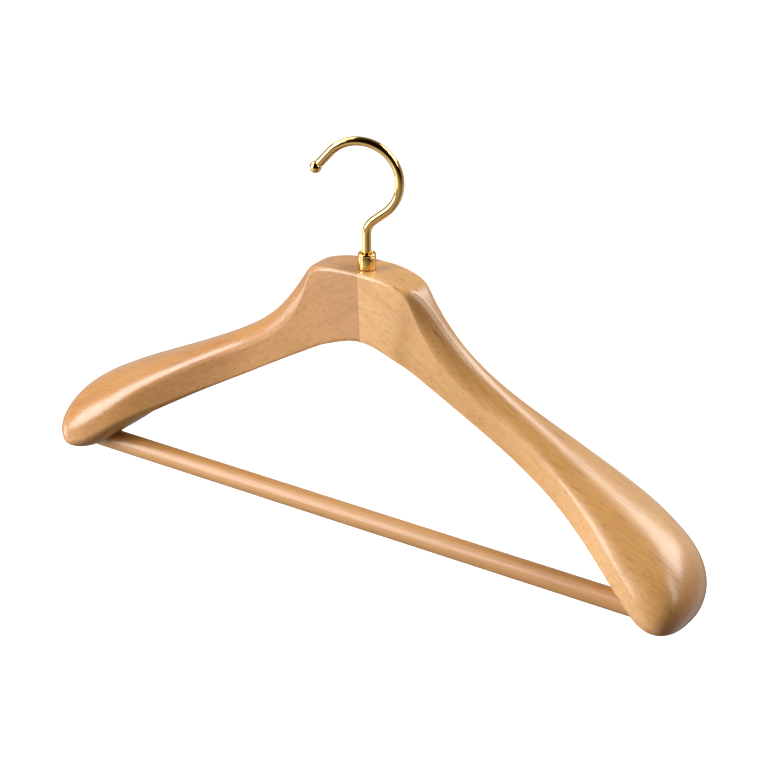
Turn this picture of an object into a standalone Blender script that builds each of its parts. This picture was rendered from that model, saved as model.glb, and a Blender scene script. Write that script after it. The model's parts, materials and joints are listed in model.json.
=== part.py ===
"""A wooden suit hanger, 440 mm wide, with a swivelling brass hook.

Two beech arms are glued edge to edge at the middle, with two dowels across the joint. A round
trouser bar lies in channels under the arms' ends, held by a brad at each end. The hook is one
bent wire. Its shank turns in a threaded socket in the head, under a ferrule, and a nut riveted
on its foot keeps it from pulling out.

The origin is where a rail touches the inside of the hook, on the axis that the hook turns about.
X runs along the shoulders, -Y is the front and +Z is up. Lengths are in metres. Inside each
piece's own mesh, z is counted from the top of the head.
"""

import math

import bmesh
import bpy
import numpy as np
from mathutils import Vector

# Fits
SEAT_GAP = 0.0003  # between pieces that touch
CUT_OVERRUN = 0.002  # how far a cutter runs out of the wood

# Ferrule: a collar on the head, with a rounded bead at its top
FERRULE_HEIGHT = 0.0093
FERRULE_LIP = 0.0002  # how far the wall covers the head's bore all round
FERRULE_BEAD = 0.0019  # thickness of the bead

# Hook: one wire, bent in a plane that stands turned from the arms
WIRE_RADIUS = 0.0026
STEM_LENGTH = 0.0112  # straight wire above the ferrule
S_BEND_RADIUS = 0.011
S_BEND_ANGLE = math.radians(51.5)
SLANT_LENGTH = 0.0082  # straight wire between the two bends
BOW_RADIUS = 0.023
BOW_ANGLE = math.radians(190.5)
TAIL_LENGTH = 0.009  # straight wire between the bow and the ball
HOOK_TURN = math.radians(18.8)
TENON_RADIUS = 0.0013  # the thin end of the wire, which the ball is pressed on
TENON_LENGTH = 0.0035
BALL_RADIUS = 0.0035
BALL_NECK_WALL = 0.0006
BALL_NECK_LENGTH = 0.0006

# Hook bearing, inside the head
SOCKET_WALL = 0.0019
SOCKET_LENGTH = 0.020
SOCKET_THREADS = 9
THREAD_DEPTH = 0.0005
WASHER_HEIGHT = 0.0008
NUT_HEIGHT = 0.0035
RIVET_LIP = 0.0011  # how far the riveted foot of the wire stands out under the nut
RIVET_HEIGHT = 0.0012

# Arms
ARM_REACH = 0.2297
ARM_DROP = 0.167
ARM_SWEEP = 0.010  # how far the arms bow towards the back
HEAD_HALF_DEPTH = 0.0135
PADDLE_HALF_DEPTH = 0.0325
CAP_START_SHARE = 0.865  # where along the arm its rounded end begins
CAP_POWER = 2.38  # of the superellipse that closes the end
CAP_HEIGHT_SHARE = 0.32  # how high in the section the end closes
LOW_ROUND_SHARE = 0.60  # where along the arm the underside begins to round off

# Stations from the glued joint to the end. Reach and drop are shares of the arm's own.
TOP_REACH_SHARES = (0, 0.069, 0.137, 0.160, 0.205, 0.268, 0.365, 0.495, 0.634, 0.775, 0.903, 0.985)
TOP_DROP_SHARES = (0, 0, 0.016, 0.029, 0.113, 0.229, 0.340, 0.441, 0.538, 0.627, 0.725, 0.809)
LOW_REACH_SHARES = (0, 0.051, 0.095, 0.128, 0.181, 0.281, 0.398, 0.527, 0.647, 0.753, 0.850, 0.930)
LOW_DROP_SHARES = (0.255, 0.272, 0.298, 0.318, 0.362, 0.443, 0.543, 0.645, 0.747, 0.835, 0.970, 0.985)
# Half depth runs from the head's, at 0, to the paddle's, at 1. The middle is a share of the sweep.
DEPTH_SHARES = (0, -0.02, -0.10, -0.13, -0.11, -0.10, -0.09, 0.15, 0.51, 0.88, 1, 1.09)
MIDDLE_SHARES = (0.29, 0.22, 0.08, 0.12, 0.24, 0.46, 0.86, 1.07, 1.04, 0.78, 0.14, -0.86)
# How much narrower the underside is, and how far the corners' rounding reaches across and down.
# How softly a top corner leaves the front or back face: near 0 at a crease, at 1 as an ellipse.
NARROWING_SHARES = (0.18, 0.24, 0.30, 0.40, 0.44, 0.42, 0.34, 0.24, 0.05, -0.13, -0.06, -0.05)
TOP_ACROSS_SHARES = (0.15, 0.15, 0.22, 0.80, 0.97, 0.97, 0.97, 0.97, 0.97, 0.97, 0.97, 0.97)
TOP_DOWN_SHARES = (0.05, 0.05, 0.05, 0.17, 0.42, 0.48, 0.44, 0.38, 0.48, 0.64, 0.66, 0.66)
TOP_SOFTNESS_SHARES = (1, 1, 1, 0.50, 0.35, 0.35, 0.50, 0.80, 1, 1, 1, 1)
LOW_ACROSS_SHARES = (0.12, 0.70)
LOW_DOWN_SHARES = (0.06, 0.28)

# Dowels across the glued joint
DOWEL_RADIUS = 0.003
DOWEL_LENGTH = 0.036
DOWEL_SPACING = 0.0092
DOWEL_COVER = 0.0020  # wood between the dowels and the bore above them
DOWEL_CHAMFER = 0.0006

# Trouser bar
BAR_RADIUS = 0.0065
BAR_FORWARD = 0.0071
BAR_PROUD = 0.0037  # how far the bar stands below the arms' undersides
BAR_END_COVER = 0.018  # from the end of the bar to the end of the arm
BAR_CHAMFER = 0.0006
PIN_RADIUS = 0.0008
PIN_LENGTH = 0.022
PIN_INSET = 0.008  # from the end of the bar
PIN_RECESS = 0.0006  # from the bar's surface to the brad's end
PIN_POINT = 0.0003

# Roundness of the meshes
ARM_STATIONS = 34
CAP_STATIONS = 10
CORNER_POINTS = 8
ROUND_SIDES = 24
WIRE_SIDES = 14
SMALL_SIDES = 12
WIRE_STEP = math.radians(5)
SHARP_ANGLE = math.radians(35)

# Radii that follow from the wire
WIRE_HOLE = WIRE_RADIUS + SEAT_GAP
SOCKET_RADIUS = WIRE_HOLE + SOCKET_WALL
SOCKET_ROOT_RADIUS = SOCKET_RADIUS - THREAD_DEPTH
NUT_FLAT_RADIUS = SOCKET_RADIUS * math.cos(math.pi / 6)
BORE_RADIUS = SOCKET_RADIUS + SEAT_GAP
FERRULE_RADIUS = BORE_RADIUS + FERRULE_LIP
BALL_BORE = TENON_RADIUS + SEAT_GAP
BALL_NECK_RADIUS = BALL_BORE + BALL_NECK_WALL

# Places on the hook's plane: across it, and above the head
STEM_HEIGHT = SEAT_GAP + FERRULE_HEIGHT + STEM_LENGTH
SLANT_ACROSS = SLANT_LENGTH * math.sin(S_BEND_ANGLE)
SLANT_RISE = SLANT_LENGTH * math.cos(S_BEND_ANGLE)
BOW_CENTRE_ACROSS = S_BEND_RADIUS + SLANT_ACROSS - (S_BEND_RADIUS + BOW_RADIUS) * math.cos(S_BEND_ANGLE)
BOW_CENTRE_HEIGHT = STEM_HEIGHT + SLANT_RISE + (S_BEND_RADIUS + BOW_RADIUS) * math.sin(S_BEND_ANGLE)
RAIL_HEIGHT = BOW_CENTRE_HEIGHT + math.sqrt((BOW_RADIUS - WIRE_RADIUS) ** 2 - BOW_CENTRE_ACROSS**2)

# Heights in the head, counted from its top
SOCKET_TOP = -SEAT_GAP
SOCKET_FOOT = SOCKET_TOP - SOCKET_LENGTH
WASHER_TOP = SOCKET_FOOT - SEAT_GAP
NUT_TOP = WASHER_TOP - WASHER_HEIGHT - SEAT_GAP
RIVET_TOP = NUT_TOP - NUT_HEIGHT - SEAT_GAP
SHANK_FOOT = RIVET_TOP - RIVET_HEIGHT
BORE_FOOT = SHANK_FOOT - SEAT_GAP
DOWEL_HEIGHT = BORE_FOOT - DOWEL_COVER - SEAT_GAP - DOWEL_RADIUS


def clear_scene():
    for old in list(bpy.data.objects):
        bpy.data.objects.remove(old, do_unlink=True)


def material(name, colour, roughness, metallic=0.0):
    made = bpy.data.materials.new(name)
    made.use_nodes = True
    shader = made.node_tree.nodes["Principled BSDF"]
    shader.inputs["Base Color"].default_value = (*colour, 1.0)
    shader.inputs["Roughness"].default_value = roughness
    shader.inputs["Metallic"].default_value = metallic
    made.diffuse_color = (*colour, 1.0)
    return made


def empty(name, turn=0.0):
    """An empty on the hook's axis, at the top of the head."""
    made = bpy.data.objects.new(name, None)
    made.location.z = -RAIL_HEIGHT
    made.rotation_euler.z = turn
    bpy.context.scene.collection.objects.link(made)
    return made


def piece(name, rings, parent, look=None, looped=False, place=(0, 0, 0)):
    """A closed body made of rings of points. The last ring joins the first, or both ends are capped."""
    rings = np.asarray(rings, float)
    count, around = rings.shape[:2]
    body = bmesh.new()
    corners = [body.verts.new(point) for point in rings.reshape(-1, 3)]
    for ring in range(count if looped else count - 1):
        below = ring * around
        above = (ring + 1) % count * around
        for step in range(around):
            after = (step + 1) % around
            body.faces.new([corners[i] for i in (below + step, below + after, above + after, above + step)])
    if not looped:
        body.faces.new(corners[:around][::-1])
        body.faces.new(corners[-around:])
    bmesh.ops.recalc_face_normals(body, faces=body.faces)
    mesh = bpy.data.meshes.new(name)
    body.to_mesh(mesh)
    body.free()
    mesh.shade_smooth()
    mesh.set_sharp_from_angle(angle=SHARP_ANGLE)
    made = bpy.data.objects.new(name, mesh)
    made.parent = parent
    made.location = place
    bpy.context.scene.collection.objects.link(made)
    if look:
        mesh.materials.append(look)
    return made


def turned(profile, sides):
    """Rings about Z from a profile of (radius, height) pairs."""
    angles = np.linspace(0, 2 * np.pi, sides, endpoint=False)
    radius, height = np.array(profile, float).T[:, :, None]
    return np.stack([radius * np.cos(angles), radius * np.sin(angles), height + 0 * angles], axis=-1)


def along_x(rings):
    """The same rings, with what was their Z along X."""
    return np.asarray(rings)[:, :, [2, 0, 1]]


def rod_profile(radius, low, high):
    return [(radius, low), (radius, high)]


def chamfered_profile(radius, low, high, chamfer):
    inner = radius - chamfer
    return [(inner, low), (radius, low + chamfer), (radius, high - chamfer), (inner, high)]


def ring_profile(hole, radius, low, high):
    """The section of a ring, for a body whose last ring joins the first."""
    return [(hole, high), (hole, low), (radius, low), (radius, high)]


def cut(target, name, rings, parent, place=(0, 0, 0)):
    cutter = piece(name, rings, parent, place=place)
    cutter.hide_render = True
    cutter.display_type = "WIRE"
    hole = target.modifiers.new(name, "BOOLEAN")
    hole.operation = "DIFFERENCE"
    hole.solver = "EXACT"
    hole.object = cutter


def flowing(shares, along, odd=False):
    """A smooth uniform cubic B-spline through the run of shares, mirrored at the joint in the middle."""
    shares = np.array(shares, float)
    before = -shares[1] if odd else shares[1]
    control = np.concatenate([[before], shares, [2 * shares[-1] - shares[-2]]])
    place = np.clip(along, 0, 1) * (len(shares) - 1)
    first = np.minimum(place.astype(int), len(shares) - 2)
    t = place - first
    weights = np.array([(1 - t) ** 3, 3 * t**3 - 6 * t**2 + 4, -3 * t**3 + 3 * t**2 + 3 * t + 1, t**3]) / 6
    return sum(weights[i] * control[first + i] for i in range(4))


def edge(reach_shares, drop_shares, along):
    """Places (reach, height) along one edge of an arm."""
    reach = flowing(reach_shares, along, odd=True) * ARM_REACH
    drop = flowing(drop_shares, along) * ARM_DROP
    return np.stack([reach, -drop])


def arm_rings(side):
    """Sections across one arm, from the glued joint to the rounded end; side is -1 or 1."""
    # The last section stops just short of the end, where it would shrink to a point
    turn = np.linspace(0, np.pi / 2, CAP_STATIONS + 1)[1:]
    turn[-1] -= turn[0] / CAP_STATIONS
    cap_along = CAP_START_SHARE + (1 - CAP_START_SHARE) * np.sin(turn)
    along = np.concatenate([np.linspace(0, CAP_START_SHARE, ARM_STATIONS), cap_along])

    # The end closes as a superellipse about a point low in the section
    into_cap = np.clip((along - CAP_START_SHARE) / (1 - CAP_START_SHARE), 0, 1)
    cap = (1 - into_cap**CAP_POWER) ** (1 / CAP_POWER)
    top = edge(TOP_REACH_SHARES, TOP_DROP_SHARES, along)
    low = edge(LOW_REACH_SHARES, LOW_DROP_SHARES, along)
    heart = low + (top - low) * CAP_HEIGHT_SHARE
    top = heart + (top - heart) * cap
    low = heart + (low - heart) * cap
    depth = HEAD_HALF_DEPTH + (PADDLE_HALF_DEPTH - HEAD_HALF_DEPTH) * flowing(DEPTH_SHARES, along)
    depth = (depth * cap)[:, None]
    middle = (flowing(MIDDLE_SHARES, along) * ARM_SWEEP)[:, None]
    narrowing = flowing(NARROWING_SHARES, along)[:, None]

    # Each section has two wide corners on top, which can start at a crease, and two elliptic ones below
    outward = np.clip((along - LOW_ROUND_SHARE) / (1 - LOW_ROUND_SHARE), 0, 1)
    top_across = flowing(TOP_ACROSS_SHARES, along)[:, None]
    low_across = np.interp(outward, (0, 1), LOW_ACROSS_SHARES)[:, None]
    top_down = flowing(TOP_DOWN_SHARES, along)
    low_down = np.interp(outward, (0, 1), LOW_DOWN_SHARES)
    crowded = np.maximum(top_down + low_down, 1)
    top_down = (top_down / crowded)[:, None]
    low_down = (low_down / crowded)[:, None]
    corner = np.linspace(0, np.pi / 2, CORNER_POINTS)
    c = np.cos(corner).clip(0)  # a power of it needs 0, not a hair less
    s = np.sin(corner)
    start = 2 / (1 + flowing(TOP_SOFTNESS_SHARES, along)[:, None])
    top_back = (1 - top_across + top_across * c, 1 - top_down + top_down * s**start)
    top_front = (top_across - 1 - top_across * s, 1 - top_down + top_down * c**start)
    low_front = (low_across - 1 - low_across * c, low_down - low_down * s)
    low_back = (1 - low_across + low_across * s, low_down - low_down * c)
    across, height = np.concatenate([top_back, top_front, low_front, low_back], axis=-1)
    reach, z = low[:, :, None] + (top - low)[:, :, None] * height
    y = middle + depth * across * (1 - narrowing * (1 - height))
    return np.stack([side * (reach + SEAT_GAP / 2), y, z], axis=-1)


# The bar lies along the arms' undersides and stops short of their ends
ARM_RINGS = arm_rings(1)
BAR_HEIGHT = ARM_RINGS[:, :, 2].min() - BAR_PROUD + BAR_RADIUS
BAR_HALF_LENGTH = ARM_RINGS[:, :, 0].max() - BAR_END_COVER
BAR_PLACE = (0, -BAR_FORWARD, BAR_HEIGHT)
HEAD_MIDDLE = ARM_RINGS[0, :, 1].mean()


def dowel_place(forward):
    return (0, HEAD_MIDDLE + forward * DOWEL_SPACING / 2, DOWEL_HEIGHT)


def pin_place(side):
    """The low end of a brad, just inside the bar's lower surface."""
    return (side * (BAR_HALF_LENGTH - PIN_INSET), -BAR_FORWARD, BAR_HEIGHT - BAR_RADIUS + PIN_RECESS)


def pin_hole():
    """A hole from under the bar to just above the brad."""
    return turned(rod_profile(PIN_RADIUS + SEAT_GAP, -CUT_OVERRUN, PIN_LENGTH + SEAT_GAP), SMALL_SIDES)


def make_arm(name, side, look, hanger):
    arm = piece(name, arm_rings(side), hanger, look)
    bore = turned(rod_profile(BORE_RADIUS, BORE_FOOT, CUT_OVERRUN), ROUND_SIDES)
    cut(arm, f"{name}_head_bore", bore, hanger)
    half_hole = DOWEL_LENGTH / 2 + SEAT_GAP
    hole = along_x(turned(rod_profile(DOWEL_RADIUS + SEAT_GAP, -half_hole, half_hole), SMALL_SIDES))
    cut(arm, f"{name}_front_dowel_hole", hole, hanger, dowel_place(-1))
    cut(arm, f"{name}_rear_dowel_hole", hole, hanger, dowel_place(1))
    half_channel = BAR_HALF_LENGTH + SEAT_GAP
    channel = along_x(turned(rod_profile(BAR_RADIUS + SEAT_GAP, -half_channel, half_channel), ROUND_SIDES))
    cut(arm, f"{name}_bar_channel", channel, hanger, BAR_PLACE)
    cut(arm, f"{name}_pin_hole", pin_hole(), hanger, pin_place(side))


def make_trouser_bar(look, hanger):
    profile = chamfered_profile(BAR_RADIUS, -BAR_HALF_LENGTH, BAR_HALF_LENGTH, BAR_CHAMFER)
    bar = piece("trouser_bar", along_x(turned(profile, ROUND_SIDES)), hanger, look, place=BAR_PLACE)
    cut(bar, "bar_left_pin_hole", pin_hole(), hanger, pin_place(-1))
    cut(bar, "bar_right_pin_hole", pin_hole(), hanger, pin_place(1))


def make_bar_pin(name, side, look, hanger):
    profile = chamfered_profile(PIN_RADIUS, 0, PIN_LENGTH, PIN_POINT)
    piece(name, turned(profile, SMALL_SIDES), hanger, look, place=pin_place(side))


def make_joint_dowel(name, forward, look, hanger):
    profile = chamfered_profile(DOWEL_RADIUS, -DOWEL_LENGTH / 2, DOWEL_LENGTH / 2, DOWEL_CHAMFER)
    piece(name, along_x(turned(profile, SMALL_SIDES)), hanger, look, place=dowel_place(forward))


def arc(centre, radius, angles):
    across = centre[0] + radius * np.cos(angles)
    height = centre[1] + radius * np.sin(angles)
    return np.stack([across, height], axis=1)


def wire_path():
    """Points on the bent wire's centre line, across the hook's plane and up, and the heading at each."""
    s_turn = np.linspace(0, S_BEND_ANGLE, round(S_BEND_ANGLE / WIRE_STEP) + 1)
    bow_turn = np.linspace(0, BOW_ANGLE, round(BOW_ANGLE / WIRE_STEP) + 1) - S_BEND_ANGLE
    s_bend = arc((S_BEND_RADIUS, STEM_HEIGHT), S_BEND_RADIUS, np.pi - s_turn)
    bow = arc((BOW_CENTRE_ACROSS, BOW_CENTRE_HEIGHT), BOW_RADIUS, bow_turn)
    heading = np.concatenate([-s_turn, bow_turn, bow_turn[-1:]]) + np.pi / 2
    tail = bow[-1] + TAIL_LENGTH * np.array([math.cos(heading[-1]), math.sin(heading[-1])])
    return np.concatenate([s_bend, bow, [tail]]), heading


def make_hook(look, swivel):
    """Rings square to the wire: riveted foot, shank, S-bend, bow, tail and the thin end for the ball."""
    path, heading = wire_path()
    foot = [(0, SHANK_FOOT), (0, RIVET_TOP), (0, RIVET_TOP)]
    forward = np.array([math.cos(heading[-1]), math.sin(heading[-1])])
    tenon = [path[-1], path[-1] + forward * TENON_LENGTH]
    path = np.concatenate([foot, path, tenon])
    heading = np.concatenate([[heading[0]] * len(foot), heading, [heading[-1]] * len(tenon)])
    radius = np.full(len(path), WIRE_RADIUS)
    radius[:2] = WIRE_RADIUS + RIVET_LIP
    radius[-2:] = TENON_RADIUS
    angle = np.linspace(0, 2 * np.pi, WIRE_SIDES, endpoint=False)
    across = radius[:, None] * np.cos(angle)
    x = path[:, :1] - np.sin(heading)[:, None] * across
    y = radius[:, None] * np.sin(angle)
    z = path[:, 1:] + np.cos(heading)[:, None] * across
    piece("hook", np.stack([x, y, z], axis=-1), swivel, look)


def make_ball_tip(look, swivel):
    """A ball with a short neck, bored to take the thin end of the wire."""
    path, heading = wire_path()
    neck_angle = math.asin(BALL_NECK_RADIUS / BALL_RADIUS)
    centre = SEAT_GAP + BALL_NECK_LENGTH + BALL_RADIUS * math.cos(neck_angle)
    profile = [(BALL_BORE, TENON_LENGTH + SEAT_GAP), (BALL_BORE, SEAT_GAP), (BALL_NECK_RADIUS, SEAT_GAP)]
    for turn in np.linspace(neck_angle, np.pi, SMALL_SIDES)[:-1]:
        profile.append((BALL_RADIUS * math.sin(turn), centre - BALL_RADIUS * math.cos(turn)))
    ball = piece("ball_tip", turned(profile, WIRE_SIDES), swivel, look, place=(path[-1][0], 0, path[-1][1]))
    direction = Vector((math.cos(heading[-1]), 0, math.sin(heading[-1])))
    ball.rotation_euler = direction.to_track_quat("Z", "Y").to_euler()


def make_ferrule(look, hanger):
    """A plain wall under a round bead, which leaves a groove outside and a well round the wire."""
    low = SEAT_GAP
    high = SEAT_GAP + FERRULE_HEIGHT
    rise = FERRULE_BEAD / 2
    bead_foot = high - FERRULE_BEAD
    profile = [(WIRE_HOLE, bead_foot), (WIRE_HOLE, low), (FERRULE_RADIUS, low), (FERRULE_RADIUS, bead_foot)]
    for turn in np.linspace(-np.pi / 3, np.pi, SMALL_SIDES):
        profile.append((FERRULE_RADIUS - rise + rise * math.cos(turn), high - rise + rise * math.sin(turn)))
    profile.append((FERRULE_RADIUS - FERRULE_BEAD, bead_foot))
    piece("ferrule", turned(profile, ROUND_SIDES), hanger, look, looped=True)


def make_socket(look, hanger):
    """A threaded sleeve in the head. Its threads are turned ridges."""
    profile = [(WIRE_HOLE, SOCKET_TOP), (WIRE_HOLE, SOCKET_FOOT)]
    pitch = SOCKET_LENGTH / SOCKET_THREADS
    for thread in range(SOCKET_THREADS):
        root = SOCKET_FOOT + thread * pitch
        profile.append((SOCKET_ROOT_RADIUS, root))
        profile.append((SOCKET_RADIUS, root + pitch / 2))
    profile.append((SOCKET_ROOT_RADIUS, SOCKET_TOP))
    piece("socket", turned(profile, ROUND_SIDES), hanger, look, looped=True)


def make_thrust_washer(look, swivel):
    profile = ring_profile(WIRE_HOLE, SOCKET_ROOT_RADIUS, WASHER_TOP - WASHER_HEIGHT, WASHER_TOP)
    piece("thrust_washer", turned(profile, ROUND_SIDES), swivel, look, looped=True)


def make_shank_nut(look, swivel):
    """A hexagonal nut: its outer rings follow six flats."""
    rings = turned(ring_profile(WIRE_HOLE, NUT_FLAT_RADIUS, NUT_TOP - NUT_HEIGHT, NUT_TOP), ROUND_SIDES)
    angles = np.linspace(0, 2 * np.pi, ROUND_SIDES, endpoint=False)
    from_flat = (angles + np.pi / 6) % (np.pi / 3) - np.pi / 6
    rings[2:, :, :2] /= np.cos(from_flat)[None, :, None]
    piece("shank_nut", rings, swivel, look, looped=True)


def main():
    clear_scene()
    beech = material("lacquered_beech", (0.72, 0.44, 0.20), 0.28)
    bare_beech = material("bar_beech", (0.78, 0.54, 0.30), 0.42)
    dowel_beech = material("dowel_beech", (0.74, 0.52, 0.30), 0.6)
    polished_brass = material("polished_brass", (0.80, 0.55, 0.22), 0.12, 1.0)
    plain_brass = material("plain_brass", (0.72, 0.50, 0.22), 0.35, 1.0)
    steel = material("pin_steel", (0.62, 0.62, 0.62), 0.35, 1.0)

    hanger = empty("hanger_frame")
    swivel = empty("hook_swivel", HOOK_TURN)
    make_arm("left_arm", -1, beech, hanger)
    make_arm("right_arm", 1, beech, hanger)
    make_trouser_bar(bare_beech, hanger)
    make_bar_pin("bar_pin_left", -1, steel, hanger)
    make_bar_pin("bar_pin_right", 1, steel, hanger)
    make_joint_dowel("joint_dowel_front", -1, dowel_beech, hanger)
    make_joint_dowel("joint_dowel_rear", 1, dowel_beech, hanger)
    make_ferrule(polished_brass, hanger)
    make_socket(plain_brass, hanger)
    make_hook(polished_brass, swivel)
    make_ball_tip(polished_brass, swivel)
    make_thrust_washer(steel, swivel)
    make_shank_nut(plain_brass, swivel)
    bpy.context.view_layer.update()


main()
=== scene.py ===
# %% [markdown]
# # A beech suit hanger with a swivelling brass hook
#
# Two arms of solid beech are glued edge to edge in the middle. A turned beech bar for trousers
# lies under their ends, and a bent brass wire turns in the head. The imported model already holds
# every piece at its real size. This script loads it as a fixed frame, lays finer surfaces over the
# pieces that show, and gives each piece the finish that the real one has. Lengths are in metres.

import json
import math

import bpy
import numpy as np
from mathutils import Matrix, Vector


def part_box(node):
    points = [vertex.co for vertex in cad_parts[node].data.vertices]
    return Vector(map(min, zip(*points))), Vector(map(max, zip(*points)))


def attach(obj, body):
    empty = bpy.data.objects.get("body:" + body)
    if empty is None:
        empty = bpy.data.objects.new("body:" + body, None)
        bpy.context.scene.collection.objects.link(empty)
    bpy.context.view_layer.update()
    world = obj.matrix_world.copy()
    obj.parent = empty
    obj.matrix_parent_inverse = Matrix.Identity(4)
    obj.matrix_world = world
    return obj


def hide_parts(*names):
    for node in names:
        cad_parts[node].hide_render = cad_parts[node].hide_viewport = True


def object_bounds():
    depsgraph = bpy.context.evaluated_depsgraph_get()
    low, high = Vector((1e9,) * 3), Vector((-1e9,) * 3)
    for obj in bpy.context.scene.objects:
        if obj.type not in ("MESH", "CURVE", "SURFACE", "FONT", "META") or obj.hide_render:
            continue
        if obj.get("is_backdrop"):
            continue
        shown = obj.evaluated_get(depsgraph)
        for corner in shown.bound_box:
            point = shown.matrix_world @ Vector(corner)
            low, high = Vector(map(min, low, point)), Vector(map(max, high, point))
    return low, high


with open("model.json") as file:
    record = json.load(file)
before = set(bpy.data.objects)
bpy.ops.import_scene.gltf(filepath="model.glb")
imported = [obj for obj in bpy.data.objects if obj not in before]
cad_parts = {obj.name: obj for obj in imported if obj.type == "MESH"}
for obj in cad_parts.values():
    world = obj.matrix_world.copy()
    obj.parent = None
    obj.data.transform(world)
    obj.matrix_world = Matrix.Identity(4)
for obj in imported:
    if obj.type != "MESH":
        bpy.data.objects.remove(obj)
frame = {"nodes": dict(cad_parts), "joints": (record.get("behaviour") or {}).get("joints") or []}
cad_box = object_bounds()
HEAD_TOP = frame["joints"][0]["pos_m"][2]
print("pieces in the frame:", ", ".join(sorted(frame["nodes"])))
print(f"the top of the head lies {-HEAD_TOP * 1000:.1f} mm under the rail")

# %% [markdown]
# ## The camera
#
# The hanger was photographed from the front right and from above with a long lens. The camera is
# placed by the directions it looks in, not by an aim object: `look` points into the picture,
# `right` and `up` span it. The head's top centre then has to land on one known pixel, so the
# camera is moved sideways along its own axes by that pixel's distance from the picture's centre.

# %% Place the camera
IMAGE_SIDE = 768
FOCAL_PIXELS = 2347
SENSOR_MM = 36
AZIMUTH = math.radians(33.9)
ELEVATION = math.radians(25.4)
ROLL = math.radians(-0.17)
DISTANCE = 1.328
HEAD_PIXEL = (367.0, 268.1)


def direction(azimuth, elevation):
    """The unit vector from the hanger towards a place; azimuth 0 is the front, a right angle +X."""
    flat = math.cos(elevation)
    return Vector((math.sin(azimuth) * flat, -math.cos(azimuth) * flat, math.sin(elevation)))


look = -direction(AZIMUTH, ELEVATION)
level_right = Vector((math.cos(AZIMUTH), math.sin(AZIMUTH), 0))
level_up = level_right.cross(look)
right = math.cos(ROLL) * level_right + math.sin(ROLL) * level_up
up = math.cos(ROLL) * level_up - math.sin(ROLL) * level_right
metres_per_pixel = DISTANCE / FOCAL_PIXELS
head_top = Vector((0, 0, HEAD_TOP))
eye = head_top - DISTANCE * look
eye -= (HEAD_PIXEL[0] - IMAGE_SIDE / 2) * metres_per_pixel * right
eye += (HEAD_PIXEL[1] - IMAGE_SIDE / 2) * metres_per_pixel * up

camera = bpy.data.objects.new("camera", bpy.data.cameras.new("camera"))
camera.data.sensor_width = SENSOR_MM
camera.data.lens = FOCAL_PIXELS / IMAGE_SIDE * SENSOR_MM
axes = Matrix((right, up, -look)).transposed()
camera.matrix_world = Matrix.Translation(eye) @ axes.to_4x4()
bpy.context.scene.collection.objects.link(camera)
bpy.context.scene.camera = camera
print(f"lens {camera.data.lens:.0f} mm, {metres_per_pixel * 1000:.2f} mm per pixel at the head")

# %% [markdown]
# ## Nodes and colours
#
# A colour picked on screen is an sRGB value, and a shader reckons in linear light, so one function
# turns a hex colour into a linear one. Another small function adds any node: each entry of
# `inputs` is either a number for that socket or another node's output to link to it. Sockets 6
# and 7 of a Mix node are its two colours.


# %% Helpers for materials
def linear(hex_colour):
    """Linear RGBA of an sRGB hex colour, by the sRGB curve: a line near black, a power above it."""
    shares = [int(hex_colour[i:i + 2], 16) / 255 for i in (1, 3, 5)]
    return (*[s / 12.92 if s <= 0.04045 else ((s + 0.055) / 1.055) ** 2.4 for s in shares], 1)


def add(tree, kind, inputs=None, **settings):
    """Adds one node, with its settings, its numbers and its links."""
    node = tree.nodes.new("ShaderNode" + kind)
    for name, value in settings.items():
        setattr(node, name, value)
    for socket, value in (inputs or {}).items():
        if isinstance(value, bpy.types.NodeSocket):
            tree.links.new(value, node.inputs[socket])
        else:
            node.inputs[socket].default_value = value
    return node


def ramp(tree, factor, stops):
    """Colours along a factor from 0 to 1, given as (place, hex colour) pairs."""
    node = add(tree, "ValToRGB", {"Fac": factor})
    for _ in stops[2:]:
        node.color_ramp.elements.new(0.5)
    for element, (place, _) in zip(node.color_ramp.elements, stops):
        element.position = place
    for element, (_, colour) in zip(node.color_ramp.elements, stops):
        element.color = linear(colour)
    return node.outputs["Color"]


def new_material(name):
    """An empty material with a shader wired to its output."""
    material = bpy.data.materials.new(name)
    material.use_nodes = True
    tree = material.node_tree
    return material, tree, tree.nodes["Principled BSDF"]


print("white in linear light:", linear("#FFFFFF")[:3], "mid grey:", round(linear("#808080")[0], 3))

# %% [markdown]
# ## The studio
#
# Catalogue pictures of hangers are lit by large soft boxes in a dark room. The key box stands at
# the front left: its reflection is the pale band along both arms. A higher one on the left lights
# their upper sides, and one behind on the right draws the patch of light on the right arm's round
# end. A narrow box at the right gives the right neck its edge of light. Two weak cards below the
# key box draw the light line down the left side of the head and lift the undersides a little.
#
# Polished brass shows whatever stands round it, and so needs the whole room. The boxes are its
# cream streaks, the pale sweep below is the gold band along its lower side, and the unlit room
# behind the camera, up to the ceiling, is the near-black streak along its middle. So the room is
# written as a brightness by height, darkened by a share that grows towards that side. Near the
# floor that side is mostly lit, and it is darker on the right and behind the hanger, past the lit
# paper: that draws the brown outlines of the wire and the shade under the arms' round ends.
#
# The floor lies far below the hanger and is seen but throws no light back, because a white
# sheet that near would wash out the darker undersides of the arms.

# %% The floor
FLOOR_DEPTH = 0.8
FLOOR_HALF = 12.0

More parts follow.
